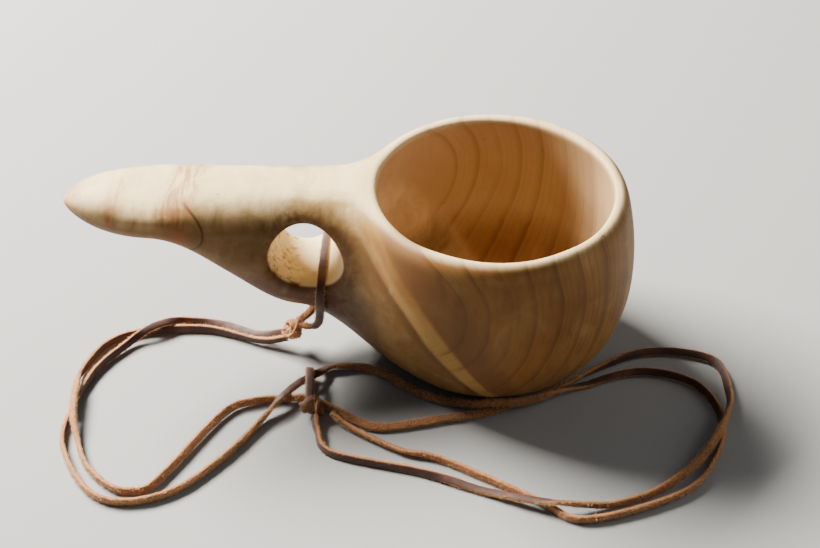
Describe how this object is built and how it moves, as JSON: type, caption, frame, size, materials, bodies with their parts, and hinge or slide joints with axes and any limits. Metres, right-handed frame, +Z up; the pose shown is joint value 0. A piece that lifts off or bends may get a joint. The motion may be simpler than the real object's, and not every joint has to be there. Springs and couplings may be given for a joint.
{
  "type": "kuksa wooden cup",
  "caption": "Hand-carved wooden drinking cup, bowl and handle in one piece, with a finger hole and a doubled leather wrist lace.",
  "frame": {"origin": "centre of the flat foot, on the table under the centre of the bowl's mouth", "axes": "+Z up through the bowl's mouth, handle along -X, +Y to the back of the cup"},
  "size_m": [0.2197, 0.1335, 0.065],
  "materials": {
    "birch_wood": "oiled, hand-carved and sanded",
    "leather_lace": "cut leather, smooth grain face and fuzzy flesh side"
  },
  "bodies": {
    "root": {"cup": "birch_wood", "handle_loop": "leather_lace", "loop_knot": "leather_lace", "lace_strand_p": "leather_lace", "lace_strand_q": "leather_lace", "noose_eye": "leather_lace", "noose_knot": "leather_lace"}
  },
  "joints": []
}
